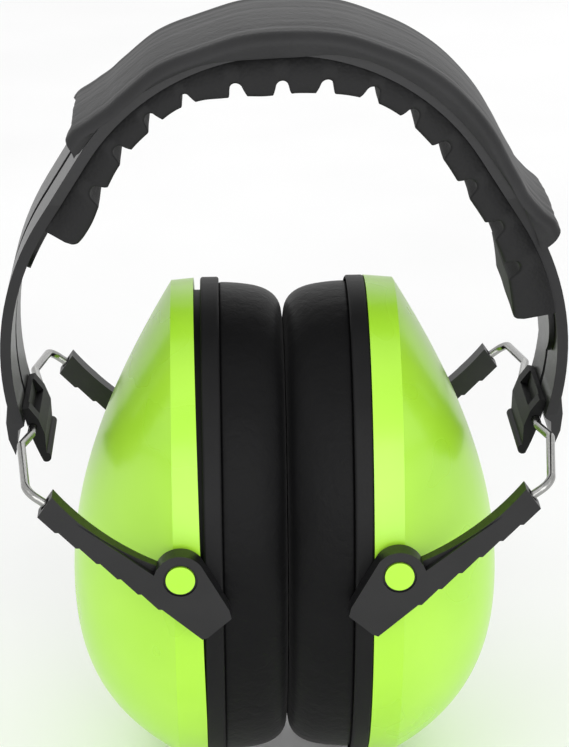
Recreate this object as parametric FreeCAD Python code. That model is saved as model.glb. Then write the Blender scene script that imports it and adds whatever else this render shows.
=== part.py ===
# Earmuff hearing protector: a slotted plastic headband with a head pad and a soft cover, and on each
# side a slider, a bent-wire yoke with two levers, and an oval ear cup with its cushion.
# Frame: X left to right, Y front to rear, Z up, millimetres. The origin is on the underside of the
# head pad's crown, where the wearer's head meets it.
import FreeCAD, Part
import math
import os

from FreeCAD import Matrix, Placement, Rotation, Vector

doc = FreeCAD.newDocument("EarmuffHearingProtector")

# ---------------------------------------------------------------- driving dimensions
SIZES = [
    # headband
    ("crown_radius", 42.7, "headband mid line, radius over the crown"),
    ("arm_radius", 50.15, "headband mid line, radius of each arm"),
    ("arm_centre_out", 1.2, "each arm's arc centre, outboard of the centre plane"),
    ("centre_drop", 15.7, "arm arc centre below the crown arc centre"),
    ("crown_height", 7.9, "headband mid line above the head seat"),
    ("band_thick", 2.0, "headband thickness"),
    ("band_width_crown", 31.0, "headband width over the crown"),
    ("band_width_end", 24.0, "headband width at its ends"),
    ("band_end_angle", 20.9, "where the arms end, below their arc centre, degrees"),
    ("slot_width", 2.2, "slider slot through the band"),
    ("track_width", 3.8, "wider track of the slot on the outer face"),
    ("track_depth", 0.9, "depth of the track"),
    ("slot_top_station", 45.0, "slot's upper end, along the band from the crown"),
    # liner, pad and cover, all set a little to one side along the band
    ("soft_shift", 9.4, "how far the pad, liner and cover sit along the band to the right"),
    ("liner_thick", 1.0, "liner thickness"),
    ("liner_width", 21.0, "liner width"),
    ("liner_length", 156.0, "liner length along the band"),
    ("pad_width", 30.4, "head pad width"),
    ("pad_length", 133.8, "head pad length along the band"),
    ("groove_pitch", 9.3, "spacing of the pad's cross grooves"),
    ("groove_depth", 2.5, "depth of the grooves"),
    ("groove_half", 1.45, "half width of a groove at its round bottom"),
    ("groove_flare", 0.75, "how much wider each side of a groove is at its mouth"),
    ("cover_width", 33.6, "cover width"),
    ("cover_wall", 1.05, "cover thickness at the band's edges"),
    ("cover_rise", 2.6, "cover thickness over the band's outer face"),
    ("cover_length", 99.5, "cover length along the band"),
    # slider and its key
    ("slider_width", 19.0, "slider width"),
    ("slider_top_angle", 12.6, "slider's top, below the arm arc centre, degrees"),
    ("slider_bottom_angle", 25.5, "slider's bottom, degrees"),
    ("slider_gap", 0.15, "gap between slider and band"),
    ("slider_bulge", 2.5, "slider thickness at its thickest"),
    ("key_length_angle", 2.2, "length of the slider key along the slot, degrees"),
    ("key_clear", 0.13, "clearance round the key in its slot and track"),
    # wire yoke and levers
    ("wire_radius", 0.8, "wire radius"),
    ("wire_clear", 0.06, "clearance round the wire in the slider"),
    ("crossbar_angle", 17.3, "crossbar, below the arm arc centre, degrees"),
    ("lever_inner_y", 34.8, "lever's inner face from the centre plane"),
    ("lever_thick", 3.8, "lever thickness"),
    ("boss_radius", 4.7, "lever's boss round the pivot"),
    ("pin_radius", 2.65, "pivot pin of the cup shell"),
    ("pin_clear", 0.08, "clearance round the pivot pin"),
    ("pin_recess", 0.45, "how much wider the shallow ring round the pin's head is"),
    ("grip_pitch", 4.75, "spacing of the grip teeth along the lever"),
    ("grip_rise", 0.4, "height of each grip tooth"),
    ("pin_out", 19.7, "pivot pin from the centre plane"),
    ("pin_drop", 83.4, "pivot pin below the head seat"),
    # ear cup
    ("cup_drop", 88.1, "cup centre below the head seat"),
    ("rim_half_high", 48.0, "half height of the rim plate"),
    ("rim_half_wide", 34.3, "half width of the rim plate"),
    ("contact_gap", 0.3, "half the gap between the two cushions"),
    ("cushion_out", 12.0, "cushion's back face from the centre plane"),
    ("rim_thick", 3.5, "thickness of the rim plate"),
    ("skirt_length", 5.5, "straight skirt of the shell"),
    ("skirt_draft", 0.5, "how much the skirt narrows along its length"),
    ("dome_depth", 19.95, "depth of the shell's dome"),
    ("dome_sag", 11.0, "dome's apex below the rim's centre"),
    ("dome_power", 2.2, "fullness of the dome's profile"),
    ("shell_wall", 2.0, "shell wall"),
    ("seat_gap", 1.3, "gap above the left shell, which sits slightly open"),
    ("cushion_inset", 2.2, "cushion's edge inside the rim's edge"),
    ("cushion_round", 4.6, "rounding of the cushion's face"),
    ("cushion_skin", 0.8, "cushion skin thickness"),
    ("ear_half_high", 30.0, "half height of the ear opening"),
    ("ear_half_wide", 18.5, "half width of the ear opening"),
    ("ring_thick", 1.5, "cushion ring thickness"),
    ("screen_thick", 0.8, "dust screen thickness"),
]

sheet = doc.addObject("Spreadsheet::Sheet", "Sizes")
for row, (alias, value, note) in enumerate(SIZES, start=1):
    sheet.set("A%d" % row, alias)
    sheet.set("B%d" % row, str(value))
    sheet.set("C%d" % row, note)
    sheet.setAlias("B%d" % row, alias)
doc.recompute()


def size(alias):
    """A driving dimension, read from the sheet."""
    return float(sheet.get(alias))


# ---------------------------------------------------------------- small helpers
def feature(label, shape):
    """A document object that holds a computed shape."""
    item = doc.addObject("Part::Feature", label)
    item.Label = label
    item.Shape = shape
    item.Placement = Placement()
    return item


def mirrored(label, source, normal):
    """The mirror image of an object in a plane through the origin."""
    item = doc.addObject("Part::Mirroring", label)
    item.Label = label
    item.Source = source
    item.Base = Vector(0, 0, 0)
    item.Normal = normal
    return item


def prism(edges, y_low, y_high):
    """A closed outline in the XZ plane at y = 0, drawn out between two Y planes."""
    wire = Part.Wire(Part.__sortEdges__(edges))
    face = Part.Face(wire)
    face.translate(Vector(0, y_low, 0))
    return face.extrude(Vector(0, y_high - y_low, 0))


def polygon(points):
    """Straight edges through points, closed."""
    return [Part.makeLine(a, b) for a, b in zip(points, points[1:] + points[:1])]


def oval(half_high, half_wide, out):
    """An ellipse in the plane x = -out, centred on the left cup's axis."""
    centre = Vector(-out, 0, -size("cup_drop"))
    top = centre + Vector(0, 0, half_high)
    side = centre + Vector(0, half_wide, 0)
    return Part.Wire(Part.Ellipse(top, side, centre).toShape())


def oval_plug(half_high, half_wide, near, far):
    """A solid elliptical plug of the left cup, from x = -near outwards to x = -far."""
    return Part.Face(oval(half_high, half_wide, near)).extrude(Vector(near - far, 0, 0))


# ---------------------------------------------------------------- the headband's line
# The mid line lies in the plane y = 0: an arc over the crown, a straight run on each side that is
# tangent to it, and an arc down each arm. A station is a distance along it from the crown.
CROWN_CENTRE_Z = size("crown_height") - size("crown_radius")
ARM_CENTRE_Z = CROWN_CENTRE_Z - size("centre_drop")
ARM_CENTRE = Vector(-size("arm_centre_out"), 0, ARM_CENTRE_Z)


def tangent_angle():
    """Angle above the horizontal at which the straight run leaves both arcs."""
    reach = math.hypot(size("arm_centre_out"), size("centre_drop"))
    lean = math.atan2(size("arm_centre_out"), size("centre_drop"))
    return math.asin((size("arm_radius") - size("crown_radius")) / reach) + lean


TURN = tangent_angle()
CROWN_RUN = size("crown_radius") * (math.pi / 2 - TURN)


def on_arm(angle, radius):
    """A point on the left arm's arc, at an angle above its centre, in radians."""
    return ARM_CENTRE + Vector(-radius * math.cos(angle), 0, radius * math.sin(angle))


def on_crown(angle, radius):
    """A point on the left half of the crown's arc."""
    return Vector(-radius * math.cos(angle), 0, CROWN_CENTRE_Z + radius * math.sin(angle))


STRAIGHT_RUN = (on_crown(TURN, size("crown_radius")) - on_arm(TURN, size("arm_radius"))).Length


def station(along, off):
    """The point at a station, off the mid line by off (positive is outwards)."""
    s = abs(along)
    if s <= CROWN_RUN:
        point = on_crown(math.pi / 2 - s / size("crown_radius"), size("crown_radius") + off)
    elif s <= CROWN_RUN + STRAIGHT_RUN:
        share = (s - CROWN_RUN) / STRAIGHT_RUN
        start = on_crown(TURN, size("crown_radius") + off)
        finish = on_arm(TURN, size("arm_radius") + off)
        point = start + (finish - start) * share
    else:
        angle = TURN - (s - CROWN_RUN - STRAIGHT_RUN) / size("arm_radius")
        point = on_arm(angle, size("arm_radius") + off)
    if along > 0:
        point.x = -point.x
    return point


def station_at(angle_below):
    """The station of a point on an arm, by its angle below the arm's arc centre, in degrees."""
    turned = TURN + math.radians(angle_below)
    return CROWN_RUN + STRAIGHT_RUN + turned * size("arm_radius")


def line_edges(first, last, off):
    """The edges of the line at one offset, between two stations."""
    joints = [CROWN_RUN, CROWN_RUN + STRAIGHT_RUN]
    breaks = sorted([first, last] + [b for j in joints for b in (-j, j) if first < b < last])
    edges = []
    for a, b in zip(breaks, breaks[1:]):
        middle = (a + b) / 2
        if CROWN_RUN <= abs(middle) <= CROWN_RUN + STRAIGHT_RUN:
            edges.append(Part.makeLine(station(a, off), station(b, off)))
        else:
            edges.append(Part.Arc(station(a, off), station(middle, off), station(b, off)).toShape())
    return edges


def strip(first, last, low, high, half_width):
    """A solid that follows the band between two stations and two offsets."""
    edges = line_edges(first, last, low) + line_edges(first, last, high)
    for s in (first, last):
        edges.append(Part.makeLine(station(s, low), station(s, high)))
    return prism(edges, -half_width, half_width)


def both_arms(shape):
    """A left arm's shape and its mirror image on the right arm."""
    return [shape, shape.mirror(Vector(0, 0, 0), Vector(1, 0, 0))]


# ---------------------------------------------------------------- headband
FAR = 200.0
HALF_BAND = size("band_thick") / 2
BAND_END = station_at(size("band_end_angle"))


def width_envelope():
    """What the band's plan stays inside: narrow at the ends, wide over the crown."""
    half_end = size("band_width_end") / 2
    half_crown = size("band_width_crown") / 2
    bottom = station(BAND_END, 0).z - size("band_thick") * 3
    wide_from = on_crown(TURN, 0).z + size("crown_radius") * 0.35
    narrow_to = ARM_CENTRE_Z - size("arm_radius") * 0.25
    top = size("crown_height") + FAR
    side = [(half_end, bottom), (half_end, narrow_to), (half_crown, wide_from), (half_crown, top)]
    outline = [Vector(-FAR, y, z) for y, z in side]
    outline += [Vector(-FAR, -y, z) for y, z in reversed(side)]
    face = Part.Face(Part.makePolygon(outline + outline[:1]))
    return face.extrude(Vector(2 * FAR, 0, 0))


def end_block():
    """The thicker, squarer end of the left arm, with its thin lip below."""
    end = size("band_end_angle")
    places = [
        (end - 11.2, HALF_BAND - 0.1),
        (end - 7.2, HALF_BAND + 1.05),
        (end - 3.6, HALF_BAND + 1.6),
        (end + 0.1, HALF_BAND + 1.5),
        (end - 2.2, HALF_BAND + 0.25),
        (end - 4.9, HALF_BAND - 0.65),
        (end - 5.5, -HALF_BAND),
        (end - 11.2, -HALF_BAND),
    ]
    outline = [station(-station_at(angle), off) for angle, off in places]
    return prism(polygon(outline), -size("band_width_end") / 2, size("band_width_end") / 2)


def headband_spring():
    body = strip(-BAND_END, BAND_END, -HALF_BAND, HALF_BAND, size("band_width_crown") / 2)
    recess_top = station_at(size("band_end_angle") - 5.5)
    beyond = station_at(size("band_end_angle") + 6)
    recess = strip(-beyond, -recess_top, -2 * HALF_BAND, FAR / 20, FAR)
    body = body.cut(both_arms(recess)).fuse(both_arms(end_block())).removeSplitter()
    body = body.common(width_envelope())
    slot_low = station_at(size("slider_top_angle") + 1 + size("key_length_angle") + 0.3)
    slot_high = size("slot_top_station")
    slot = strip(-slot_low, -slot_high, -FAR / 20, FAR / 20, size("slot_width") / 2)
    floor = HALF_BAND - size("track_depth")
    track = strip(-slot_low, -slot_high, floor, FAR / 20, size("track_width") / 2)
    return body.cut(both_arms(slot) + both_arms(track))


# ---------------------------------------------------------------- liner, pad and cover
LINER_OUTER = -HALF_BAND - 0.1
LINER_INNER = LINER_OUTER - size("liner_thick")
PAD_OUTER = LINER_INNER - 0.02


def headband_liner():
    """A thin strip inside the band whose ends are round, free tongues."""
    half = size("liner_length") / 2
    first = size("soft_shift") - half
    last = size("soft_shift") + half
    half_width = size("liner_width") / 2
    shape = strip(first, last, LINER_INNER, LINER_OUTER, half_width)
    tongue = half_width * 0.9
    for end, inward in ((first, 1), (last, -1)):
        tip = station(end, LINER_OUTER)
        root = station(end + inward * tongue, LINER_OUTER)
        along = (tip - root).normalize()
        across = Vector(0, 1, 0)
        out = along.cross(across).normalize()
        blank = Part.makeBox(tongue * 1.6, 4 * half_width, 12)
        blank.Placement = Placement(Vector(0, -2 * half_width, -6), Rotation())
        plug = Part.makeCylinder(half_width, 14, Vector(0, 0, -7))
        blank = blank.cut(plug)
        place = Matrix(
            along.x, across.x, out.x, root.x,
            along.y, across.y, out.y, root.y,
            along.z, across.z, out.z, root.z,
            0, 0, 0, 1,
        )
        blank.transformShape(place)
        shape = shape.cut(blank)
    return shape


# How deep the pad reaches inside the band's mid line, at stations from its left end to its right one
PAD_DEPTHS = [
    (-0.5, 7.3),
    (-0.36, 6.3),
    (-0.22, 6.0),
    (-0.13, 7.7),
    (-0.08, 8.2),
    (0.0, 7.3),
    (0.09, 6.2),
    (0.26, 6.5),
    (0.5, 8.6),
]


def head_pad():
    """A moulded pad with round-bottomed cross grooves on its underside."""
    length = size("pad_length")
    first = size("soft_shift") - length / 2
    last = first + length
    under = []
    for share, depth in PAD_DEPTHS:
        under.append(station(size("soft_shift") + share * length, -depth))
    curve = Part.BSplineCurve()
    curve.interpolate(under)
    edges = line_edges(first, last, PAD_OUTER)
    edges.append(curve.toShape())
    edges.append(Part.makeLine(station(first, PAD_OUTER), under[0]))
    edges.append(Part.makeLine(station(last, PAD_OUTER), under[-1]))
    body = prism(edges, -size("pad_width") / 2, size("pad_width") / 2)
    corners = []
    for edge in body.Edges:
        ends = [v.Point for v in edge.Vertexes]
        if len(ends) < 2 or abs((ends[1] - ends[0]).y) < size("pad_width") * 0.9:
            continue
        for tip in (under[0], under[-1]):
            if math.hypot(ends[0].x - tip.x, ends[0].z - tip.z) < 0.01:
                corners.append(edge)
    body = body.makeFillet(2.4, corners)
    count = int(length // size("groove_pitch")) - 1
    for index in range(count):
        along = size("soft_shift") + (index - (count - 1) / 2) * size("groove_pitch")
        deep = depth_at(along) - size("groove_depth")
        body = body.cut(groove(along, deep))
    return body


def depth_at(along):
    """The pad's depth at a station, between the listed ones."""
    share = (along - size("soft_shift")) / size("pad_length")
    for (a, low), (b, high) in zip(PAD_DEPTHS, PAD_DEPTHS[1:]):
        if a <= share <= b:
            return low + (high - low) * (share - a) / (b - a)
    return PAD_DEPTHS[-1][1]


def groove(along, deep):
    """A cutter for one groove: a round bottom and sides that flare to the mouth."""
    half = size("groove_half")
    mouth = half + size("groove_flare")
    root = station(along, -deep - half)
    normal = (station(along, 1) - station(along, 0)).normalize()
    side = Vector(normal.z, 0, -normal.x)
    reach = size("groove_depth") * 2
    points = [
        root - side * half,
        root + normal * half,
        root + side * half,
        root + side * mouth - normal * reach,
        root - side * mouth - normal * reach,
    ]
    edges = [
        Part.Arc(points[0], points[1], points[2]).toShape(),
        Part.makeLine(points[2], points[3]),
        Part.makeLine(points[3], points[4]),
        Part.makeLine(points[4], points[0]),
    ]
    return prism(edges, -size("pad_width"), size("pad_width"))


def band_cover():
    """A soft cover that wraps the band's outer face and its two edges."""
    half = size("cover_length") / 2
    first = size("soft_shift") + 0.9 - half
    last = first + 2 * half
    half_width = size("cover_width") / 2
    top = HALF_BAND + size("cover_rise")
    outer = strip(first, last, -HALF_BAND, top, half_width)
    edges = []
    for edge in outer.Edges:
        box = edge.BoundBox
        on_side = abs(box.YMin - box.YMax) < 0.01 and abs(abs(box.YMin) - half_width) < 0.01
        start = edge.Vertexes[0].Point
        if on_side and is_on_offset(start, top) and is_on_offset(edge.Vertexes[-1].Point, top):
            edges.append(edge)
    outer = outer.makeFillet(size("cover_rise") * 0.85, edges)
    inner = strip(first - 5, last + 5, -3 * HALF_BAND, HALF_BAND + 0.1, half_width - size("cover_wall"))
    return outer.cut(inner)


def is_on_offset(point, off):
    """Whether a point lies on the line at one offset from the band's mid line."""
    flat = Vector(point.x, 0, point.z)
    line = Part.Wire(line_edges(-BAND_END, BAND_END, off))
    return line.distToShape(Part.Vertex(flat))[0] < 0.01


# ---------------------------------------------------------------- slider and its key
SLIDER_FACE = -HALF_BAND - size("slider_gap")
CROSSBAR_OFF = SLIDER_FACE - size("wire_radius")
CROSSBAR = station(-station_at(size("crossbar_angle")), CROSSBAR_OFF)


def slider_key():
    """A T-shaped key: its stem runs in the slot and its head in the track."""
    low = station_at(size("slider_top_angle") + 1 + size("key_length_angle"))
    high = station_at(size("slider_top_angle") + 1)
    clear = size("key_clear")
    shoulder = HALF_BAND - size("track_depth") + clear
    stem = strip(-low, -high, SLIDER_FACE - 0.8, shoulder + 0.01, size("slot_width") / 2 - clear)
    head = strip(-low, -high, shoulder, HALF_BAND - 0.1, size("track_width") / 2 - clear)
    return stem.fuse(head).removeSplitter()


def slider(key):
    """The slider on the band's inner face, with the wire's channel and a finger recess."""
    top = size("slider_top_angle")
    bottom = size("slider_bottom_angle")
    bulge = SLIDER_FACE - size("slider_bulge")
    inner = [
        station(-station_at(top), SLIDER_FACE - size("slider_bulge") * 0.5),
        station(-station_at(top + 3.2), bulge + 0.15),
        station(-station_at(top + 7.2), bulge),
        station(-station_at(bottom - 1.5), SLIDER_FACE - size("slider_bulge") * 0.5),
    ]
    heel = station(-station_at(bottom), SLIDER_FACE)
    edges = line_edges(-station_at(bottom), -station_at(top), SLIDER_FACE)
    edges.append(Part.makeLine(station(-station_at(top), SLIDER_FACE), inner[0]))
    edges.append(Part.makeLine(inner[0], inner[1]))
    edges.append(Part.makeLine(inner[1], inner[2]))
    edges.append(Part.makeLine(inner[2], inner[3]))
    lowest = station(-station_at(bottom + 0.6), SLIDER_FACE - size("slider_bulge") * 0.3)
    edges.append(Part.Arc(inner[3], lowest, heel).toShape())
    half = size("slider_width") / 2
    body = prism(edges, -half, half)
    recess = strip(-station_at(top + 3.3), -station_at(top - 2), bulge - 3, SLIDER_FACE - 1.0, half * 0.66)
    bore = size("wire_radius") + size("wire_clear")
    channel = Part.makeCylinder(bore, 2 * half + 2, CROSSBAR - Vector(0, half + 1, 0), Vector(0, 1, 0))
    return body.cut([recess, channel, key])


# ---------------------------------------------------------------- wire yoke
def rounded_path(points, radius):
    """Straight runs through points, joined by tangent arcs."""
    edges = []
    here = points[0]
    for before, corner, after in zip(points, points[1:], points[2:]):
        back = (before - corner).normalize()
        ahead = (after - corner).normalize()
        half_angle = back.getAngle(ahead) / 2
        trim = radius / math.tan(half_angle)
        start = corner + back * trim
        finish = corner + ahead * trim
        inwards = (back + ahead).normalize()
        middle = corner + inwards * (radius / math.sin(half_angle) - radius)
        edges.append(Part.makeLine(here, start))
        edges.append(Part.Arc(start, middle, finish).toShape())
        here = finish
    edges.append(Part.makeLine(here, points[-1]))
    return edges


LEVER_MID_Y = size("lever_inner_y") + size("lever_thick") / 2
PIN = Vector(-size("pin_out"), 0, -size("pin_drop"))
LEVER_END = CROSSBAR + Vector(3.7, 0, -3.8)
SOCKET_LINE = (PIN + Vector(-5.5, 0, 1.5) - LEVER_END).normalize()
SOCKET_DEPTH = 6.0
# how far outside the lever the wire's last straight leg starts
LEG_RUN = 3.94


def wire_yoke():
    """One bent wire: the crossbar in the slider and a leg to each lever."""
    mouth = Vector(LEVER_END.x, LEVER_MID_Y, LEVER_END.z)
    leg = [
        CROSSBAR + Vector(0, 12.8, 0),
        CROSSBAR + Vector(-1.4, 20.0, 0.6),
        mouth - SOCKET_LINE * LEG_RUN,
        mouth + SOCKET_LINE * SOCKET_DEPTH,
    ]
    front = [Vector(p.x, -p.y, p.z) for p in reversed(leg)]
    path = Part.Wire(rounded_path(front + leg, 2.6))
    start = front[0]
    heading = (front[1] - front[0]).normalize()
    section = Part.Wire(Part.makeCircle(size("wire_radius"), start, heading))
    return path.makePipeShell([section], True, True)


# ---------------------------------------------------------------- levers
def lever_outline():
    """The lever's edges in the plane y = 0: arm, boss round the pin, and tail."""
    radius = size("boss_radius")
    end_top = LEVER_END + Vector(1.45, 0, 1.95)
    end_low = LEVER_END + Vector(-1.25, 0, -1.9)
    tail_low = PIN + Vector(3.8, 0, -11.8)
    tail_side = PIN + Vector(4.8, 0, -11.4)
    tail_tip = PIN + Vector(9.1, 0, -7.7)
    tail_top = PIN + Vector(8.7, 0, -6.0)
    boss_exit = math.radians(38)
    boss_right = PIN + Vector(radius * math.cos(boss_exit), 0, radius * math.sin(boss_exit))
    boss_top = PIN + Vector(0, 0, radius)
    neck_angle = math.radians(151)
    neck = PIN + Vector(radius * math.cos(neck_angle), 0, radius * math.sin(neck_angle))
    hollow = (neck + end_top) / 2 + Vector(-0.8, 0, -1.1)
    edges = [
        Part.Arc(neck, hollow, end_top).toShape(),
        Part.makeLine(end_top, end_low),
    ]
    # the grip: low saw teeth along the lower edge, each a long rise and a short fall
    run = (tail_low - end_low).normalize()
    outward = Vector(run.z, 0, -run.x)
    here = end_low
    for index in range(6):
        crest = end_low + run * (size("grip_pitch") * (index + 1) - 0.5) + outward * size("grip_rise")
        foot = end_low + run * (size("grip_pitch") * (index + 1))
        edges.append(Part.makeLine(here, crest))
        edges.append(Part.makeLine(crest, foot))
        here = foot
    edges += [
        Part.makeLine(here, tail_low),
        Part.makeLine(tail_low, tail_side),
        Part.makeLine(tail_side, tail_tip),
        Part.makeLine(tail_tip, tail_top),
        Part.makeLine(tail_top, boss_right),
        Part.Arc(boss_right, boss_top, neck).toShape(),
    ]
    return edges


def lever_facet():
    """A cutter for the sloping facet between the arm's top edge and the boss."""
    y_face = -size("lever_inner_y") - size("lever_thick") - 0.5
    deep = 2.1
    start = PIN + Vector(-18.5, 0, 11.6)
    crease = PIN + Vector(-4.7, 0, 1.1)
    above = PIN + Vector(-1.5, 0, 9.0)
    top = [Vector(p.x, y_face, p.z) for p in (start, crease, above)]
    low = [p + Vector(0, deep, 0) for p in top[1:]]
    low_start = top[0] + Vector(0, 0.5, 0)
    faces = [
        [top[0], top[1], top[2]],
        [low_start, low[1], low[0]],
        [top[0], low_start, low[0]],
        [top[0], low[0], top[1]],
        [top[0], top[2], low[1]],
        [top[0], low[1], low_start],
        [top[1], low[0], low[1]],
        [top[1], low[1], top[2]],
    ]
    shell = Part.Shell([Part.Face(Part.makePolygon(f + f[:1])) for f in faces])
    wedge = Part.Solid(shell)
    if wedge.Volume < 0:
        wedge.reverse()
    boss = Part.makeCylinder(size("boss_radius"), 20, Vector(PIN.x, y_face - 5, PIN.z), Vector(0, 1, 0))
    return wedge.cut(boss)


def lever():
    inner = size("lever_inner_y")
    outer = inner + size("lever_thick")
    body = prism(lever_outline(), -outer, -inner)
    body = body.cut(lever_facet())
    hole = Part.makeCylinder(
        size("pin_radius") + size("pin_clear"), outer, Vector(PIN.x, -outer - 1, PIN.z), Vector(0, 1, 0)
    )
    ring = Part.makeCylinder(
        size("pin_radius") + size("pin_recess"), 1.5, Vector(PIN.x, -outer - 1, PIN.z), Vector(0, 1, 0)
    )
    outside = Vector(LEVER_END.x, -LEVER_MID_Y, LEVER_END.z) - SOCKET_LINE * 3
    socket = Part.makeCylinder(size("wire_radius"), SOCKET_DEPTH + 3, outside, SOCKET_LINE)
    relief = Part.makeCylinder(size("wire_radius") + 0.5, 3.6, outside, SOCKET_LINE)
    return body.cut([hole, ring, socket, relief])


# ---------------------------------------------------------------- ear cup
RIM_BACK = size("cushion_out") + size("rim_thick")
SPIGOT_LENGTH = 3.0
SPIGOT_WALL = 1.8
# the shell's wall narrows by its draft over the skirt, so the spigot's gap is wider than that
SPIGOT_CLEAR = 0.15 + size("skirt_draft") * SPIGOT_LENGTH / size("skirt_length")


def cup_faces(inset):
    """The left cup's outer form drawn in by inset: a short straight skirt and a leaning dome."""
    half_high = size("rim_half_high") - inset
    aspect = (size("rim_half_wide") - inset) / half_high
    crease = RIM_BACK + size("skirt_length")
    top = half_high - size("skirt_draft")
    depth = size("dome_depth") - inset
    line = Part.makeLine(Vector(-RIM_BACK, 0, half_high), Vector(-crease, 0, top))
    steps = [1.0, 0.96, 0.88, 0.78, 0.66, 0.52, 0.36, 0.18, 0.0]
    profile = [Vector(-crease - depth * (1 - t ** size("dome_power")), 0, top * t) for t in steps]
    curve = Part.BSplineCurve()
    curve.interpolate(profile)
    # a flatter oval whose centre drops steadily from the crease to the apex
    slope = size("dome_sag") / size("dome_depth")
    upright = Matrix(1, 0, 0, 0, 0, aspect, 0, 0, 0, 0, 1, -size("cup_drop"), 0, 0, 0, 1)
    lean = Matrix(1, 0, 0, 0, 0, aspect, 0, 0, slope, 0, 1, crease * slope - size("cup_drop"), 0, 0, 0, 1)
    faces = []
    for edge, place in ((line, upright), (curve.toShape(), lean)):
        turned = edge.revolve(Vector(0, 0, 0), Vector(1, 0, 0), 360).transformGeometry(place)
        faces += turned.Faces
    return faces


def closed(faces):
    """A solid from faces that meet edge to edge."""
    shell = Part.makeShell(faces)
    shell.sewShape()
    solid = Part.Solid(shell)
    if solid.Volume < 0:
        solid.reverse()
    return solid


def rim_edge(inset):
    """The oval edge of the cup's form at the rim plate."""
    return oval(size("rim_half_high") - inset, size("rim_half_wide") - inset, RIM_BACK)


def cup_shell():
    """The domed shell, open at its rim, with a pivot pin on each side."""
    wall = size("shell_wall")
    mouth = Part.Face(rim_edge(0)).cut(Part.Face(rim_edge(wall)))
    shell = closed(cup_faces(0) + cup_faces(wall) + mouth.Faces)
    root = size("rim_half_wide") - wall - SPIGOT_CLEAR / 2
    reach = size("lever_inner_y") + size("lever_thick") - root
    pins = []
    for side in (-1, 1):
        start = Vector(PIN.x, side * root, PIN.z)
        pins.append(Part.makeCylinder(size("pin_radius"), reach, start, Vector(0, side, 0)))
    return shell.fuse(pins)


def seat_wedge():
    """What the left shell lacks at its mouth, where it sits slightly open at the top."""
    top_z = -size("cup_drop") + size("rim_half_high") + 1
    low_z = -size("cup_drop") - size("rim_half_high") * 0.62
    outline = [
        Vector(-RIM_BACK + 0.01, 0, top_z),
        Vector(-RIM_BACK - size("seat_gap"), 0, top_z),
        Vector(-RIM_BACK + 0.01, 0, low_z),
    ]
    return prism(polygon(outline), -FAR / 4, FAR / 4)




def rim_plate():
    """The oval base plate of a cup: a rim, a seat for the cushion ring and a spigot for the shell."""
    high = size("rim_half_high")
    wide = size("rim_half_wide")
    near = size("cushion_out")
    plate = oval_plug(high, wide, near, RIM_BACK)
    plate = plate.makeFillet(0.5, [e for e in plate.Edges if e.BoundBox.XLength < 0.01])
    inset = size("shell_wall") + SPIGOT_CLEAR
    spigot = oval_plug(high - inset, wide - inset, RIM_BACK, RIM_BACK + SPIGOT_LENGTH)
    inset += SPIGOT_WALL
    bore = oval_plug(high - inset, wide - inset, RIM_BACK, RIM_BACK + SPIGOT_LENGTH)
    seat = oval_plug(ring_high(), ring_wide(), near, near + size("ring_thick"))
    opening = oval_plug(size("ear_half_high") + 1, size("ear_half_wide") + 1, near, RIM_BACK)
    return plate.fuse(spigot.cut(bore)).cut([seat, opening]).removeSplitter()


def ring_high():
    return size("rim_half_high") - size("cushion_inset") - 3.5


def ring_wide():
    return size("rim_half_wide") - size("cushion_inset") - 3.5


def cushion_ring():
    """The flat ring that the cushion's skin is welded to."""
    near = size("cushion_out")
    disc = oval_plug(ring_high(), ring_wide(), near, near + size("ring_thick"))
    hole = oval_plug(size("ear_half_high") + 1, size("ear_half_wide") + 1, near, near + size("ring_thick"))
    return disc.cut(hole)


def cushion_form(inset):
    """The cushion's rounded oval ring, drawn in by inset on every side but its back."""
    near = size("contact_gap") + inset
    back = size("cushion_out")
    round_by = size("cushion_round") - inset
    disc = oval_plug(
        size("rim_half_high") - size("cushion_inset") - inset,
        size("rim_half_wide") - size("cushion_inset") - inset,
        near,
        back,
    )
    hole = oval_plug(size("ear_half_high") + inset, size("ear_half_wide") + inset, near, back)
    ring = disc.cut(hole)
    front = [e for e in ring.Edges if e.BoundBox.XLength < 0.01 and abs(e.BoundBox.XMax + near) < 0.01]
    return ring.makeFillet(round_by, front)


def cup_foam():
    """The sound-absorbing foam that fills the shell."""
    inset = size("shell_wall") + 0.5
    fill = closed(cup_faces(inset) + [Part.Face(rim_edge(inset))])
    rim_inset = size("shell_wall") + SPIGOT_CLEAR + SPIGOT_WALL + 0.4
    limit = oval_plug(
        size("rim_half_high") - rim_inset,
        size("rim_half_wide") - rim_inset,
        RIM_BACK,
        RIM_BACK + SPIGOT_LENGTH + 0.4,
    )
    step = -RIM_BACK - SPIGOT_LENGTH - 0.4
    beyond = Part.makeBox(FAR, FAR, 2 * FAR, Vector(step - FAR, -FAR / 2, -FAR * 1.5))
    return limit.common(fill).fuse(fill.common(beyond)).removeSplitter()


def dust_screen():
    """A thin cloth screen across the cup's opening."""
    near = size("cushion_out") + size("ring_thick") + 0.3
    far = near + size("screen_thick")
    return oval_plug(size("ear_half_high") + 0.9, size("ear_half_wide") + 0.9, near, far)


# ---------------------------------------------------------------- the assembly
nodes = [
    feature("headband_spring", headband_spring()),
    feature("headband_liner", headband_liner()),
    feature("head_pad", head_pad()),
    feature("band_cover", band_cover()),
]

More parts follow.
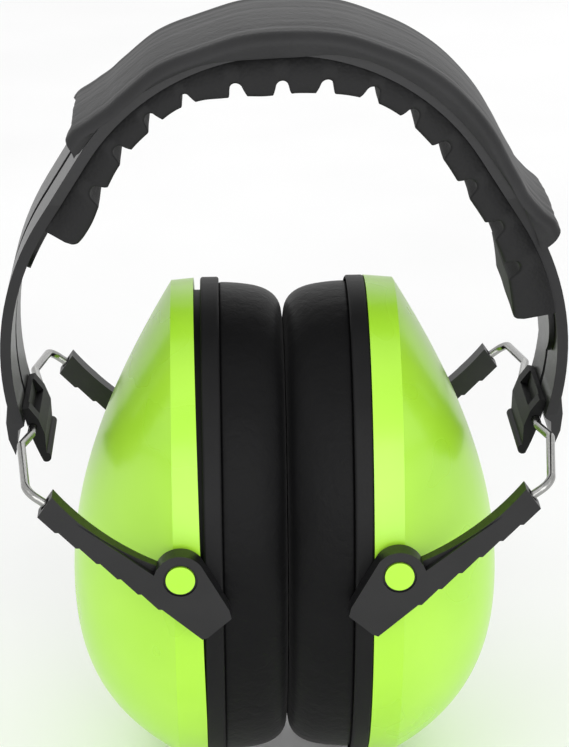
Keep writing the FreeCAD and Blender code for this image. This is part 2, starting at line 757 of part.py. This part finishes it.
key_shape = slider_key()
full_shell = cup_shell()
foam_core = cushion_form(size("cushion_skin"))
SIDE_PIECES = [
    ("slider", slider(key_shape)),
    ("slider_key", key_shape),
    ("wire_yoke", wire_yoke()),
    ("lever_front", lever()),
    ("rim_plate", rim_plate()),
    ("cushion_ring", cushion_ring()),
    ("ear_cushion", cushion_form(0).cut(foam_core)),
    ("cushion_foam", foam_core),
    ("dust_screen", dust_screen()),
    ("cup_foam", cup_foam()),
]
for name, shape in SIDE_PIECES:
    left = feature("left_" + name, shape)
    nodes.append(left)
    nodes.append(mirrored("right_" + name, left, Vector(1, 0, 0)))
    if name == "lever_front":
        rear = mirrored("left_lever_rear", left, Vector(0, 1, 0))
        nodes.append(rear)
        nodes.append(mirrored("right_lever_rear", rear, Vector(1, 0, 0)))

shell_blank = feature("shell_blank", full_shell)
nodes.append(mirrored("right_cup_shell", shell_blank, Vector(1, 0, 0)))
nodes.append(feature("left_cup_shell", full_shell.cut(seat_wedge())))

doc.recompute()
for item in doc.Objects:
    if "Invalid" in item.State or "Error" in item.State:
        raise RuntimeError("%s failed: %s" % (item.Label, item.State))

os.makedirs("parts", exist_ok=True)
for node in nodes:
    shape = node.Shape
    if shape.isNull() or not shape.isValid() or not shape.Solids:
        raise RuntimeError("%s has no valid solid" % node.Label)
    shape.exportStep("parts/%s.step" % node.Label)
    print("%-20s %8.1f mm3 %d solid" % (node.Label, shape.Volume, len(shape.Solids)))
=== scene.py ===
import math

import bmesh
import bpy
from mathutils import Matrix, Vector, noise


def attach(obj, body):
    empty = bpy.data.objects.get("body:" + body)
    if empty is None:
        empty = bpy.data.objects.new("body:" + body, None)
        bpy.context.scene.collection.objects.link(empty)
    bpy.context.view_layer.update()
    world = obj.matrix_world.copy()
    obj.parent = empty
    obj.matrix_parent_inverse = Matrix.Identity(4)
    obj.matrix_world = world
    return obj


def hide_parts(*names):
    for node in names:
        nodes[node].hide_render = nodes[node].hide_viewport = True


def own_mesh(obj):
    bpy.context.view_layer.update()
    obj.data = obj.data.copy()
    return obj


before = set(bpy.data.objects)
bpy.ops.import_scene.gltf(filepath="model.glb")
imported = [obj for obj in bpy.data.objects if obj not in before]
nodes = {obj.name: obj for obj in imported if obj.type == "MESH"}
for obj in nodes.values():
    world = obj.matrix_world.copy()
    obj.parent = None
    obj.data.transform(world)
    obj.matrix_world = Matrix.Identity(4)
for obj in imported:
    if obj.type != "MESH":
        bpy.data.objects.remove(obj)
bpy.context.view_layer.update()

MM = 0.001
SIDES = (("left", -1), ("right", 1))


# ---------------------------------------------------------------- camera, studio and light
CAMERA_PLACE = (-11.53, -454.5, 110.4)
CAMERA_AZIMUTH = -1.4845
CAMERA_ELEVATION = 20.3666
CAMERA_ROLL = -0.4143
CAMERA_LENS = 122.8916
FLOOR_Z = -137.5


def aim_camera():
    """A long lens a little above the object, looking almost straight along +Y."""
    azimuth = math.radians(CAMERA_AZIMUTH)
    elevation = math.radians(CAMERA_ELEVATION)
    roll = math.radians(CAMERA_ROLL)
    back = Vector((
        math.sin(azimuth) * math.cos(elevation),
        -math.cos(azimuth) * math.cos(elevation),
        math.sin(elevation),
    ))
    level = Vector((math.cos(azimuth), math.sin(azimuth), 0))
    upright = back.cross(level)
    right = math.cos(roll) * level + math.sin(roll) * upright
    up = -math.sin(roll) * level + math.cos(roll) * upright
    data = bpy.data.cameras.new("camera")
    data.sensor_width = 36
    data.lens = CAMERA_LENS
    data.clip_start = 0.01
    data.clip_end = 10
    camera = bpy.data.objects.new("camera", data)
    turn = Matrix((right, up, back)).transposed().to_4x4()
    camera.matrix_world = Matrix.Translation(Vector(CAMERA_PLACE) * MM) @ turn
    bpy.context.scene.collection.objects.link(camera)
    bpy.context.scene.camera = camera


def soft_light(name, place, aim, size, watts):
    """A square soft box that looks at a point; places in metres."""
    data = bpy.data.lights.new(name, "AREA")
    data.shape = "RECTANGLE"
    data.size = size[0]
    data.size_y = size[1]
    data.energy = watts
    lamp = bpy.data.objects.new(name, data)
    lamp.location = place
    lamp.rotation_mode = "QUATERNION"
    lamp.rotation_quaternion = (Vector(place) - Vector(aim)).to_track_quat("Z", "Y")
    bpy.context.scene.collection.objects.link(lamp)


def linear(code):
    """An sRGB hex colour as the linear numbers that shaders take."""
    channels = [int(code[i:i + 2], 16) / 255 for i in (1, 3, 5)]
    return [c / 12.92 if c <= 0.04045 else ((c + 0.055) / 1.055) ** 2.4 for c in channels] + [1.0]


def add(material, kind, settings=(), links=()):
    """Adds one shader node, sets its sockets or properties, and links others into it."""
    tree = material.node_tree
    made = tree.nodes.new("ShaderNode" + kind)
    for key, value in dict(settings).items():
        if key in made.inputs:
            made.inputs[key].default_value = value
        else:
            setattr(made, key, value)
    for key, source in dict(links).items():
        tree.links.new(source, made.inputs[key])
    return made


def start_material(name):
    """An empty material, its object coordinates in millimetres, and its output node."""
    material = bpy.data.materials.new(name)
    material.use_nodes = True
    material.node_tree.nodes.clear()
    place = add(material, "TexCoord")
    in_mm = add(material, "Mapping", {"Scale": (1000, 1000, 1000)}, {"Vector": place.outputs["Object"]})
    output = add(material, "OutputMaterial")
    return material, in_mm.outputs["Vector"], output


def finish_surface(material, output, settings, links):
    """Joins a shader with those settings to the material's output."""
    shader = add(material, "BsdfPrincipled", settings, links)
    material.node_tree.links.new(shader.outputs["BSDF"], output.inputs["Surface"])
    return material


def two_tone(material, factor, low, high, dark, light):
    """A colour ramp between two hex colours, by a factor from low to high."""
    ramp = add(material, "ValToRGB", (), {"Fac": factor})
    ramp.color_ramp.elements[0].position = low
    ramp.color_ramp.elements[0].color = linear(dark)
    ramp.color_ramp.elements[1].position = high
    ramp.color_ramp.elements[1].color = linear(light)
    return ramp.outputs["Color"]


def spread(material, factor, low, high):
    """Maps a 0 to 1 factor onto a range, such as a roughness."""
    made = add(material, "MapRange", {"To Min": low, "To Max": high}, {"Value": factor})
    return made.outputs["Result"]


# ---------------------------------------------------------------- materials
def lime_abs():
    """Injection-moulded ABS in lime green: glossy, with faint flow unevenness and a fine orange peel."""
    material, place, output = start_material("lime_moulded_abs")
    flow = add(material, "TexNoise", {"Scale": 0.045, "Detail": 2.0}, {"Vector": place})
    peel = add(material, "TexNoise", {"Scale": 1.1, "Detail": 3.0}, {"Vector": place})
    wavy = add(material, "Bump", {"Strength": 0.35, "Distance": 0.0006}, {"Height": flow.outputs["Fac"]})
    bump = add(material, "Bump", {"Strength": 0.02, "Distance": 0.00005},
               {"Height": peel.outputs["Fac"], "Normal": wavy.outputs["Normal"]})
    colour = two_tone(material, flow.outputs["Fac"], 0.35, 0.65, "#A5E033", "#ADE63E")
    rough = spread(material, flow.outputs["Fac"], 0.24, 0.32)
    return finish_surface(material, output, {"IOR": 1.53, "Coat Weight": 0.15, "Coat Roughness": 0.12,
                                              "Specular IOR Level": 0.45},
                          {"Base Color": colour, "Roughness": rough, "Normal": bump.outputs["Normal"]})


def dark_nylon(name, dark, light, low, high, grain=2.2, shine=0.36):
    """Moulded glass-filled nylon: charcoal, satin, with a fine spark-eroded grain left by the mould."""
    material, place, output = start_material(name)
    cloud = add(material, "TexNoise", {"Scale": 0.12, "Detail": 4.0}, {"Vector": place})
    erode = add(material, "TexNoise", {"Scale": grain, "Detail": 5.0, "Roughness": 0.7}, {"Vector": place})
    bump = add(material, "Bump", {"Strength": 0.22, "Distance": 0.00012}, {"Height": erode.outputs["Fac"]})
    colour = two_tone(material, cloud.outputs["Fac"], 0.3, 0.7, dark, light)
    rough = spread(material, erode.outputs["Fac"], low, high)
    return finish_surface(material, output, {"IOR": 1.53, "Specular IOR Level": shine},
                          {"Base Color": colour, "Roughness": rough, "Normal": bump.outputs["Normal"]})


def spring_steel():
    """Drawn and polished steel wire: bright, with fine drawing lines round each bend."""
    material, place, output = start_material("drawn_spring_steel")
    drawn = add(material, "Mapping", {"Scale": (4.0, 0.35, 4.0)}, {"Vector": place})
    lines = add(material, "TexNoise", {"Scale": 1.6, "Detail": 4.0}, {"Vector": drawn.outputs["Vector"]})
    bump = add(material, "Bump", {"Strength": 0.12, "Distance": 0.00005}, {"Height": lines.outputs["Fac"]})
    colour = two_tone(material, lines.outputs["Fac"], 0.3, 0.7, "#8C8C8A", "#A8A8A6")
    rough = spread(material, lines.outputs["Fac"], 0.14, 0.28)
    return finish_surface(material, output, {"Metallic": 1.0},
                          {"Base Color": colour, "Roughness": rough, "Normal": bump.outputs["Normal"]})


def pad_foam():
    """Skinned polyurethane foam: matt and nearly black, pitted with small closed cells."""
    material, place, output = start_material("skinned_pu_foam")
    cells = add(material, "TexVoronoi", {"Scale": 1.5}, {"Vector": place})
    cloud = add(material, "TexNoise", {"Scale": 0.25, "Detail": 5.0}, {"Vector": place})
    soft = add(material, "Bump", {"Strength": 0.3, "Distance": 0.0005}, {"Height": cloud.outputs["Fac"]})
    bump = add(material, "Bump", {"Strength": 0.35, "Distance": 0.00016},
               {"Height": cells.outputs["Distance"], "Normal": soft.outputs["Normal"]})
    colour = two_tone(material, cloud.outputs["Fac"], 0.3, 0.7, "#0E0E0F", "#171718")
    rough = spread(material, cloud.outputs["Fac"], 0.62, 0.82)
    return finish_surface(material, output, {"IOR": 1.5, "Specular IOR Level": 0.35},
                          {"Base Color": colour, "Roughness": rough, "Normal": bump.outputs["Normal"]})


def vinyl(name, dark, light, low, high, grain, depth, shine):
    """Soft PVC leathercloth: an embossed pebble grain, its shine varying a little from place to place."""
    material, place, output = start_material(name)
    pebbles = add(material, "TexVoronoi", {"Scale": grain, "Randomness": 0.9}, {"Vector": place})
    cloud = add(material, "TexNoise", {"Scale": 0.09, "Detail": 4.0}, {"Vector": place})
    creases = add(material, "TexNoise", {"Scale": 0.5, "Detail": 3.0, "Distortion": 0.6}, {"Vector": place})
    slack = add(material, "Bump", {"Strength": 0.25, "Distance": 0.0005}, {"Height": creases.outputs["Fac"]})
    bump = add(material, "Bump", {"Strength": 0.3, "Distance": depth},
               {"Height": pebbles.outputs["Distance"], "Normal": slack.outputs["Normal"]})
    colour = two_tone(material, cloud.outputs["Fac"], 0.3, 0.7, dark, light)
    rough = spread(material, cloud.outputs["Fac"], low, high)
    return finish_surface(material, output, {"IOR": 1.52, "Specular IOR Level": shine, "Sheen Weight": 0.05,
                          "Sheen Roughness": 0.4},
                          {"Base Color": colour, "Roughness": rough, "Normal": bump.outputs["Normal"]})


def open_foam():
    """Open-cell polyether foam: dark grey, dull and porous."""
    material, place, output = start_material("open_cell_foam")
    cells = add(material, "TexVoronoi", {"Scale": 1.2}, {"Vector": place})
    bump = add(material, "Bump", {"Strength": 0.8, "Distance": 0.0005}, {"Height": cells.outputs["Distance"]})
    # the colour is darkest at each cell's centre, the pit of the bump: painted shade in the foam's pores
    colour = two_tone(material, cells.outputs["Distance"], 0.1, 0.6, "#1C1C1E", "#3E3E41")
    return finish_surface(material, output, {"Roughness": 0.95, "Specular IOR Level": 0.2},
                          {"Base Color": colour, "Normal": bump.outputs["Normal"]})


def screen_cloth():
    """Non-woven polyester cloth: short fibres pressed together, dull black."""
    material, place, output = start_material("nonwoven_polyester")
    fibres = add(material, "TexNoise", {"Scale": 2.5, "Detail": 6.0, "Distortion": 2.0}, {"Vector": place})
    bump = add(material, "Bump", {"Strength": 0.5, "Distance": 0.0002}, {"Height": fibres.outputs["Fac"]})
    colour = two_tone(material, fibres.outputs["Fac"], 0.3, 0.7, "#19191B", "#2D2D30")
    return finish_surface(material, output, {"Roughness": 0.95, "Sheen Weight": 0.2},
                          {"Base Color": colour, "Normal": bump.outputs["Normal"]})


def pale_floor():
    """Matt white studio board, with a trace of unevenness."""
    material, place, output = start_material("white_studio_board")
    cloud = add(material, "TexNoise", {"Scale": 0.01, "Detail": 2.0}, {"Vector": place})
    colour = two_tone(material, cloud.outputs["Fac"], 0.3, 0.7, "#F6F6F6", "#FAFAFA")
    return finish_surface(material, output, {"Roughness": 0.9}, {"Base Color": colour})


def coat(piece, material):
    """Gives a piece one material."""
    piece.data.materials.clear()
    piece.data.materials.append(material)


# ---------------------------------------------------------------- the headband's line, in millimetres
CROWN_RADIUS = 42.7
CROWN_CENTRE_Z = 7.9 - CROWN_RADIUS
ARM_RADIUS = 50.15
ARM_CENTRE = (-1.2, CROWN_CENTRE_Z - 15.7)
TURN = math.asin((ARM_RADIUS - CROWN_RADIUS) / math.hypot(1.2, 15.7)) + math.atan2(1.2, 15.7)
CROWN_RUN = CROWN_RADIUS * (math.pi / 2 - TURN)


def on_arm(angle, off):
    """x and z on the left arm, at an angle above its centre and off its mid line."""
    radius = ARM_RADIUS + off
    return ARM_CENTRE[0] - radius * math.cos(angle), ARM_CENTRE[1] + radius * math.sin(angle)


def on_crown(angle, off):
    """The same over the crown."""
    radius = CROWN_RADIUS + off
    return -radius * math.cos(angle), CROWN_CENTRE_Z + radius * math.sin(angle)


STRAIGHT_RUN = math.dist(on_crown(TURN, 0), on_arm(TURN, 0))


def on_band(along, across, off):
    """A point beside the headband: along it from the crown, across it, and outwards off its mid line."""
    s = abs(along)
    if s <= CROWN_RUN:
        x, z = on_crown(math.pi / 2 - s / CROWN_RADIUS, off)
    elif s <= CROWN_RUN + STRAIGHT_RUN:
        share = (s - CROWN_RUN) / STRAIGHT_RUN
        a = on_crown(TURN, off)
        b = on_arm(TURN, off)
        x = a[0] + (b[0] - a[0]) * share
        z = a[1] + (b[1] - a[1]) * share
    else:
        x, z = on_arm(TURN - (s - CROWN_RUN - STRAIGHT_RUN) / ARM_RADIUS, off)
    return Vector((-x if along > 0 else x, across, z)) * MM


def between(table, where):
    """A smooth value from a short table of (place, value), with no overshoot at its ends."""
    if where <= table[0][0]:
        return table[0][1]
    if where >= table[-1][0]:
        return table[-1][1]
    slopes = [(d - b) / (c - a) for (a, b), (c, d) in zip(table, table[1:])]
    leans = [slopes[0]] + [(m + n) / 2 for m, n in zip(slopes, slopes[1:])] + [slopes[-1]]
    for index, ((a, low), (b, high)) in enumerate(zip(table, table[1:])):
        if where <= b:
            run = b - a
            t = (where - a) / run
            start = low + leans[index] * run * t
            finish = high - leans[index + 1] * run * (1 - t)
            ease = t * t * (3 - 2 * t)
            return start * (1 - ease) + finish * ease


def settle(bm, name):
    """Makes an object of a finished bmesh: outward normals, smooth shading."""
    bmesh.ops.remove_doubles(bm, verts=bm.verts, dist=1e-6)
    bmesh.ops.recalc_face_normals(bm, faces=bm.faces)
    mesh = bpy.data.meshes.new(name)
    bm.to_mesh(mesh)
    bm.free()
    mesh.shade_smooth()
    piece = bpy.data.objects.new(name, mesh)
    bpy.context.scene.collection.objects.link(piece)
    return piece


def thick_strip(name, columns, rows, top, under):
    """A closed solid from a flat grid: top(u, v) and under(u, v) give its two skins, u and v from -1 to 1."""
    bm = bmesh.new()
    bmesh.ops.create_grid(bm, x_segments=columns, y_segments=rows, size=1)
    upper = {v: (v.co.x, v.co.y) for v in bm.verts}
    made = bmesh.ops.extrude_face_region(bm, geom=bm.faces[:], use_keep_orig=True)
    lower = [v for v in made["geom"] if isinstance(v, bmesh.types.BMVert)]
    for v in lower:
        v.co = under(v.co.x, v.co.y)
    for v, (a, b) in upper.items():
        v.co = top(a, b)
    return settle(bm, name)


# ---------------------------------------------------------------- head pad
PAD_MIDDLE = 9.4
PAD_HALF = 66.9
PAD_WIDE = 15.2
PAD_TOP = -2.12
# beside the liner the pad rests on the band's own face
LINER_HALF_WIDE = 10.9
BAND_FACE = -1.06
# the pad's depth below the band's mid line, by place along the band
PAD_DEPTHS = ((-57.5, 7.2), (-53.7, 7.6), (-48, 6.9), (-37.7, 6.1), (-29.8, 5.9), (-19.5, 5.9),
              (-13, 7.1), (-8, 7.9), (-1.6, 8.4), (2.8, 8.0), (8.5, 7.4), (16.4, 6.3),
              (20.6, 6.0), (33.7, 6.3), (44, 6.7), (53, 6.6), (71, 8.3), (76.3, 8.8))
# each cross groove's place and the half width of its round bottom
GROOVES = ((-46.7, 1.4), (-37.4, 1.4), (-28.3, 1.4), (-20.1, 0.9), (-9.8, 1.4), (-0.2, 1.4),
           (9.1, 1.4), (18.4, 1.4), (27.7, 1.4), (37.0, 1.4), (46.3, 1.4), (55.6, 1.4), (64.9, 1.4))


def groove_depth(along):
    """How deep the nearest cross groove is at a place along the pad: a round bottom and a flared mouth."""
    place, half = min(GROOVES, key=lambda g: abs(g[0] - along))
    beside = abs(along - place)
    if beside < half:
        return 1.25 + math.sqrt(half ** 2 - beside ** 2) * 0.95
    return 1.25 * max(0.0, 1 - (beside - half) / 0.6) ** 1.2


def pad_surface(u, v):
    """The pad's underside, rounded at its edges and its ends."""
    along = PAD_MIDDLE + PAD_HALF * u
    across = PAD_WIDE * math.sin(v * math.pi / 2)
    full = between(PAD_DEPTHS, along) - groove_depth(along)
    side = 1 - max(0.0, (abs(across) - PAD_WIDE + 0.7) / 0.7) ** 2.4
    tip = 1 - max(0.0, (abs(along - PAD_MIDDLE) - PAD_HALF + 1.5) / 1.5) ** 2.4
    lump = 0.12 * noise.noise(Vector((along * 0.11, across * 0.13, 3.7)))
    rise = 0.7 * (1 - math.sqrt(max(0.0, side))) + 1.5 * (1 - math.sqrt(max(0.0, tip)))
    depth = max(full - rise + lump, -PAD_TOP + 0.4)
    return on_band(along, across, -depth)


def make_head_pad():
    """The moulded foam pad under the crown."""
    def back(u, v):
        across = PAD_WIDE * math.sin(v * math.pi / 2)
        return on_band(PAD_MIDDLE + PAD_HALF * u, across, PAD_TOP if abs(across) < LINER_HALF_WIDE else BAND_FACE)
    piece = thick_strip("head_pad_moulding", 520, 36, back, pad_surface)
    coat(piece, pad_foam())
    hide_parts("head_pad")
    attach(piece, "headband")


# ---------------------------------------------------------------- band cover
# places along the band in millimetres, and heights off its mid line
COVER_FIRST = -39.4
COVER_LAST = 60.2
COVER_CROWN = ((-39.4, 4.5), (-35.2, 3.1), (-30, 2.6), (-22, 3.1), (-14, 2.7), (-7, 3.1), (2, 3.3),
               (10, 3.8), (17, 3.8), (24, 4.1), (35, 4.0), (42, 3.7), (50, 3.1), (56.5, 3.2), (60.2, 4.4))
COVER_HEM = ((-42.6, 1.5), (-37, 1.4), (-29, 0.8), (-15, 0.1), (1, -1.15), (10, 0.3),
             (24, 0.55), (38, 0.5), (50, 0.8), (56, 0.6), (64.5, -0.4))
COVER_WIDE = 16.7
LINING_OFF = 1.08
LINING_WIDE = 15.6


def cover_place(u, v):
    """The place along the band: the ends are cut on the slant, so the hems reach further than the middle."""
    slant = max(0.0, (abs(u) - 0.85) / 0.15) * max(0.0, (abs(v) - 0.6) / 0.4)
    return (COVER_FIRST + COVER_LAST) / 2 + (COVER_LAST - COVER_FIRST) / 2 * u + math.copysign(3.4 * slant, u)


def cover_skin(u, v):
    """The cover's outside, from one hem over the band's face to the other hem."""
    along = cover_place(u, v)
    crown = between(COVER_CROWN, along)
    hem = between(COVER_HEM, along)
    corner = 2.1
    # a path across: up the side, round the corner and over to the middle, each with its share of v
    t = abs(v)
    bulge = 0.45 * (1 - (t / 0.78) ** 2) if t < 0.78 else 0.0
    if t < 0.78:
        across = (COVER_WIDE - corner) * t / 0.78
        off = crown + bulge
    elif t < 0.92:
        turn = (t - 0.78) / 0.14 * math.pi / 2
        across = COVER_WIDE - corner + corner * math.sin(turn)
        off = crown - corner + corner * math.cos(turn)
    else:
        down = (t - 0.92) / 0.08
        across = COVER_WIDE - 0.25 * down
        off = crown - corner + (hem - crown + corner) * down
    across = math.copysign(across, v)
    pull = 0.14 * noise.noise(Vector((along * 0.012, across * 0.30, 1.3)))
    pull += 0.05 * noise.noise(Vector((along * 0.05, across * 0.5, 7.1)))
    ridge = 0.10 * math.exp(-((t - 0.70) / 0.05) ** 2)
    return on_band(along, across, off + (pull + ridge) * min(1.0, (1 - t) * 6))


def cover_lining(u, v):
    """The cover's inside, against the band's outer face and edges."""
    along = cover_place(u, v)
    hem = between(COVER_HEM, along)
    t = abs(v)
    if t < 0.85:
        return on_band(along, math.copysign(LINING_WIDE * t / 0.85, v), LINING_OFF)
    down = (t - 0.85) / 0.15
    return on_band(along, math.copysign(LINING_WIDE + 0.05, v), LINING_OFF + (hem + 0.1 - LINING_OFF) * down)


def make_band_cover():
    """The soft vinyl cover over the crown of the band."""
    piece = thick_strip("band_cover_vinyl", 260, 110, cover_skin, cover_lining)
    coat(piece, vinyl("padded_vinyl", "#1B1B1C", "#252526", 0.48, 0.6, 1.6, 0.00006, 0.27))
    round_edge = piece.modifiers.new("rounded hem", "BEVEL")
    round_edge.width = 0.25 * MM
    round_edge.segments = 2
    round_edge.limit_method = "ANGLE"
    round_edge.angle_limit = math.radians(50)
    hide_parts("band_cover")
    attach(piece, "headband")


# ---------------------------------------------------------------- ear cushions, screens and foam
CUP_Z = -88.1
# half width and half height of the ear opening, and of the cushion's outer edge
EAR_OPENING = (18.5, 30.0)
CUSHION_EDGE = (32.1, 45.8)
SCREEN_HALF_WIDE = 19.3
SCREEN_HALF_HIGH = 30.8
SCREEN_DEPTH = 14.2
FOAM_HALF_WIDE = 28.5
FOAM_HALF_HIGH = 42.0
FOAM_BACK = 17.0
FOAM_DEEP = 20.0
BEAD_RADIUS = 0.38
BEAD_DEPTH = 12.0
BEAD_HALF_WIDE = 33.55
BEAD_HALF_HIGH = 47.25
# the round ring that the bead is drawn out from
BEAD_RING = 40.0

# the cushion's cross section: depth from the centre plane, and share from the ear opening to the outer edge
CUSHION_SECTION = ((12.2, 1.075), (11.9, 1.08), (9.6, 1.075), (7.4, 1.06), (5.4, 1.04), (3.8, 1.01),
                   (2.4, 0.965), (1.2, 0.90), (0.4, 0.81), (0.08, 0.7), (0.06, 0.55), (0.08, 0.42),
                   (0.5, 0.3), (1.4, 0.18), (2.8, 0.08), (4.6, 0.02), (7.0, -0.01), (9.6, 0.0),
                   (12.0, 0.03), (12.3, 0.3), (12.3, 0.7))


def make_cushion(side, sign, skin):
    """One oval cushion: a soft ring of leathercloth over foam, fullest where the other cushion presses it."""
    bm = bmesh.new()
    ring = [bm.verts.new((depth, 1 + share, 0)) for depth, share in CUSHION_SECTION]
    edges = [bm.edges.new((a, b)) for a, b in zip(ring, ring[1:] + ring[:1])]
    bmesh.ops.spin(bm, geom=ring + edges, cent=(0, 0, 0), axis=(1, 0, 0), angle=2 * math.pi, steps=120,
                   use_merge=True)
    for v in bm.verts:
        share = math.hypot(v.co.y, v.co.z) - 1
        turn = math.atan2(v.co.z, v.co.y)
        depth = v.co.x
        wide = EAR_OPENING[0] + (CUSHION_EDGE[0] - EAR_OPENING[0]) * share
        high = EAR_OPENING[1] + (CUSHION_EDGE[1] - EAR_OPENING[1]) * share
        soft = 0.16 * noise.noise(Vector((math.cos(turn) * 4, math.sin(turn) * 4, share * 2 + sign)))
        pucker = 0.07 * math.sin(turn * 46 + 2 * math.sin(turn * 5)) * max(0.0, 1 - abs(share) * 2.6)
        out = 1 + (soft + pucker) / 40
        v.co = Vector((
            sign * (depth + 0.06 * soft + 0.02),
            wide * math.cos(turn) * out,
            CUP_Z + high * math.sin(turn) * out,
        )) * MM
    piece = settle(bm, side + "_ear_cushion_skin")
    smooth = piece.modifiers.new("full cushion", "SUBSURF")
    smooth.levels = 1
    smooth.render_levels = 1
    coat(piece, skin)
    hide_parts(side + "_ear_cushion", side + "_cushion_foam")
    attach(piece, side + "_cup")
    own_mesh(piece)


def make_screen(side, sign, cloth):
    """The thin cloth across the cup's opening, slack by a millimetre in its middle."""
    bm = bmesh.new()
    bmesh.ops.create_circle(bm, cap_ends=True, cap_tris=True, segments=96, radius=1)
    spokes = [e for e in bm.edges if any(v.co.length < 0.5 for v in e.verts)]
    bmesh.ops.subdivide_edges(bm, edges=spokes, cuts=10, use_grid_fill=True)
    for v in bm.verts:
        r = min(1.0, v.co.length)
        sag = 0.9 * (1 - r * r) + 0.1 * noise.noise(Vector((v.co.x * 5, v.co.y * 5, sign)))
        v.co = Vector((
            sign * (SCREEN_DEPTH + sag),
            SCREEN_HALF_WIDE * v.co.x,
            CUP_Z + SCREEN_HALF_HIGH * v.co.y,
        )) * MM
    piece = settle(bm, side + "_dust_screen_cloth")
    coat(piece, cloth)
    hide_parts(side + "_dust_screen")
    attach(piece, side + "_cup")


def make_cup_foam(side, sign, foam):
    """The foam insert that lines the shell: a domed block with soft corners."""
    bm = bmesh.new()
    bmesh.ops.create_uvsphere(bm, u_segments=72, v_segments=36, radius=1)
    low = [v for v in bm.verts if v.co.z < -1e-4]
    bmesh.ops.delete(bm, geom=low, context="VERTS")
    rim = [e for e in bm.edges if e.is_boundary]
    bmesh.ops.edgeloop_fill(bm, edges=rim)
    for v in bm.verts:
        depth = FOAM_BACK + FOAM_DEEP * v.co.z
        lean = 0.5 * FOAM_DEEP * v.co.z
        v.co = Vector((sign * depth, FOAM_HALF_WIDE * v.co.x, CUP_Z + FOAM_HALF_HIGH * v.co.y - lean)) * MM
    piece = settle(bm, side + "_cup_foam_insert")
    coat(piece, foam)
    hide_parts(side + "_cup_foam")
    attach(piece, side + "_cup")


def make_rim_bead(side, sign, plastic):
    """The thin moulded bead round the rim plate, beside the cushion."""
    bm = bmesh.new()
    ring = bmesh.ops.create_circle(bm, segments=10, radius=BEAD_RADIUS)["verts"]
    bmesh.ops.rotate(bm, verts=ring, matrix=Matrix.Rotation(math.pi / 2, 3, "Y"))
    bmesh.ops.translate(bm, verts=ring, vec=(BEAD_DEPTH, BEAD_RING, 0))
    bmesh.ops.spin(bm, geom=bm.verts[:] + bm.edges[:], cent=(0, 0, 0), axis=(1, 0, 0),
                   angle=2 * math.pi, steps=220, use_merge=True)
    for v in bm.verts:
        turn = math.atan2(v.co.z, v.co.y)
        proud = math.hypot(v.co.y, v.co.z) - BEAD_RING
        v.co = Vector((
            sign * v.co.x,
            (BEAD_HALF_WIDE + proud) * math.cos(turn),
            CUP_Z + (BEAD_HALF_HIGH + proud) * math.sin(turn),
        )) * MM
    piece = settle(bm, side + "_rim_bead")
    coat(piece, plastic)
    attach(piece, side + "_cup")


# ---------------------------------------------------------------- hard pieces from the frame
def soften_edges(piece, width, angle=35):
    """Moulded edges: a narrow rounded bevel that catches the light."""
    bevel = piece.modifiers.new("moulded edge", "BEVEL")
    bevel.width = width * MM
    bevel.segments = 2
    bevel.limit_method = "ANGLE"
    bevel.angle_limit = math.radians(angle)
    bevel.harden_normals = True


def finish_hard_pieces():
    """Materials for the moulded and metal pieces that keep their shape from the frame."""
    charcoal = dark_nylon("charcoal_moulded_nylon", "#101011", "#171718", 0.36, 0.5)
    band = dark_nylon("satin_band_nylon", "#111112", "#18181A", 0.28, 0.4, 1.4)
    rim = dark_nylon("matt_rim_nylon", "#0A0A0B", "#101011", 0.46, 0.6, shine=0.18)
    # the slider and its key take the same black nylon painted darker: painted shade on the slider and its key
    painted_shade_nylon = dark_nylon("shaded_slider_nylon", "#060607", "#0B0B0C", 0.46, 0.6, shine=0.16)
    liner = dark_nylon("polypropylene_sheet", "#0F0F10", "#161617", 0.28, 0.4, 0.8)
    lime = lime_abs()
    steel = spring_steel()
    coat(nodes["headband_spring"], band)
    coat(nodes["headband_liner"], liner)
    for side, sign in SIDES:
        for name in ("lever_front", "lever_rear"):
            coat(nodes[side + "_" + name], charcoal)
            soften_edges(nodes[side + "_" + name], 0.22)
        for name in ("rim_plate", "cushion_ring"):
            coat(nodes[side + "_" + name], rim)
        for name in ("slider", "slider_key"):
            coat(nodes[side + "_" + name], painted_shade_nylon)
        coat(nodes[side + "_cup_shell"], lime)
        coat(nodes[side + "_wire_yoke"], steel)
        make_rim_bead(side, sign, charcoal)


def make_studio():
    """A pale floor under the cups, and soft light from the front, both sides and behind."""
    bm = bmesh.new()
    bmesh.ops.create_grid(bm, x_segments=8, y_segments=8, size=3)
    bmesh.ops.translate(bm, verts=bm.verts, vec=(0, 0, FLOOR_Z * MM))
    floor = settle(bm, "floor")
    coat(floor, pale_floor())
    world = bpy.data.worlds.new("studio")
    bpy.context.scene.world = world
    world.use_nodes = True
    sky = world.node_tree.nodes["Background"]
    sky.inputs["Color"].default_value = (1, 1, 1, 1)
    sky.inputs["Strength"].default_value = 0.93
    soft_light("front", (0.12, -0.85, 0.05), (0, 0, -0.08), (0.7, 0.7), 3.6)
    soft_light("key", (-0.45, -0.55, 0.55), (0, 0, -0.07), (0.5, 0.5), 0.5)
    soft_light("fill", (0.6, -0.4, 0.25), (0, 0, -0.07), (0.4, 0.6), 0.3)
    soft_light("back", (0.1, 0.7, 0.35), (0, 0, -0.06), (0.6, 0.4), 0.4)


aim_camera()
make_studio()
finish_hard_pieces()
make_head_pad()
make_band_cover()
leathercloth = vinyl("soft_leathercloth", "#060607", "#0B0B0C", 0.44, 0.58, 2.4, 0.00004, 0.12)
cloth = screen_cloth()
foam = open_foam()
for side, sign in SIDES:
    make_cushion(side, sign, leathercloth)
    make_screen(side, sign, cloth)
    make_cup_foam(side, sign, foam)

bpy.context.scene.view_settings.view_transform = "Standard"
bpy.context.view_layer.update()
